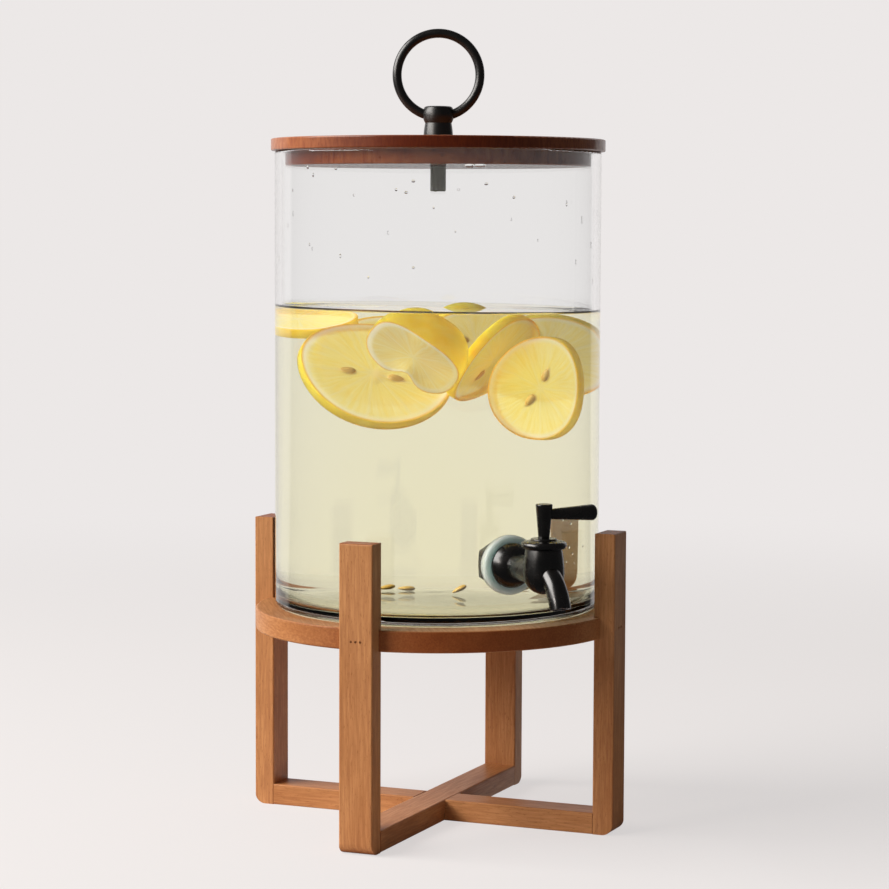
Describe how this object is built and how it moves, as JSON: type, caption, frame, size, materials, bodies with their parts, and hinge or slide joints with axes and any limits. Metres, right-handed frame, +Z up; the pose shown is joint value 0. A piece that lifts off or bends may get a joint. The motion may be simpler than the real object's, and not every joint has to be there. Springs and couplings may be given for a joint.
{
  "type": "infusion beverage dispenser",
  "caption": "Straight glass drink jar with a lever tap, on a crossed wooden stand with upright posts, closed by a wooden lid with a ring handle.",
  "frame": {"origin": "on the floor, under the axis of the jar, at the middle of the crossed rails' underside", "axes": "+Z up along the jar's axis, the tap faces -Y, +X to the right of the tap"},
  "size_m": [0.2234, 0.2836, 0.4869],
  "materials": {
    "stand_wood": "oiled",
    "lid_wood": "oiled",
    "black_metal": "satin",
    "steel": "satin",
    "glass": "clear",
    "silicone": "matt",
    "o_ring_rubber": "matt"
  },
  "bodies": {
    "stand": {"post_front_left": "stand_wood", "post_front_right": "stand_wood", "post_back_right": "stand_wood", "post_back_left": "stand_wood", "rail_upper": "stand_wood", "rail_lower": "stand_wood", "shelf": "stand_wood", "rail_dowels": "stand_wood", "shelf_brads": "steel"},
    "jar": {"jar": "glass", "tap_body": "black_metal", "tap_bonnet": "black_metal", "washer_outer": "silicone", "washer_inner": "silicone", "shank_nut": "black_metal"},
    "lever": {"lever_handle": "black_metal", "valve_plug": "black_metal", "o_ring_upper": "o_ring_rubber", "o_ring_lower": "o_ring_rubber"},
    "lid": {"lid_disc": "lid_wood", "lid_plug": "lid_wood", "handle_knob": "black_metal", "handle_ring": "black_metal", "handle_stud": "steel", "sleeve_nut": "steel"}
  },
  "joints": [
    {"name": "jar_lift", "type": "slide", "parent": "stand", "child": "jar", "axis": [0, 0, 1], "range_m": [0, 0.08]},
    {"name": "lid_lift", "type": "slide", "parent": "jar", "child": "lid", "axis": [0, 0, 1], "range_m": [0, 0.06]},
    {"name": "lever_turn", "type": "hinge", "parent": "jar", "child": "lever", "pos_m": [0, -0.145, 0.2035], "axis": [0, 0, 1], "range_deg": [-90, 0]}
  ]
}
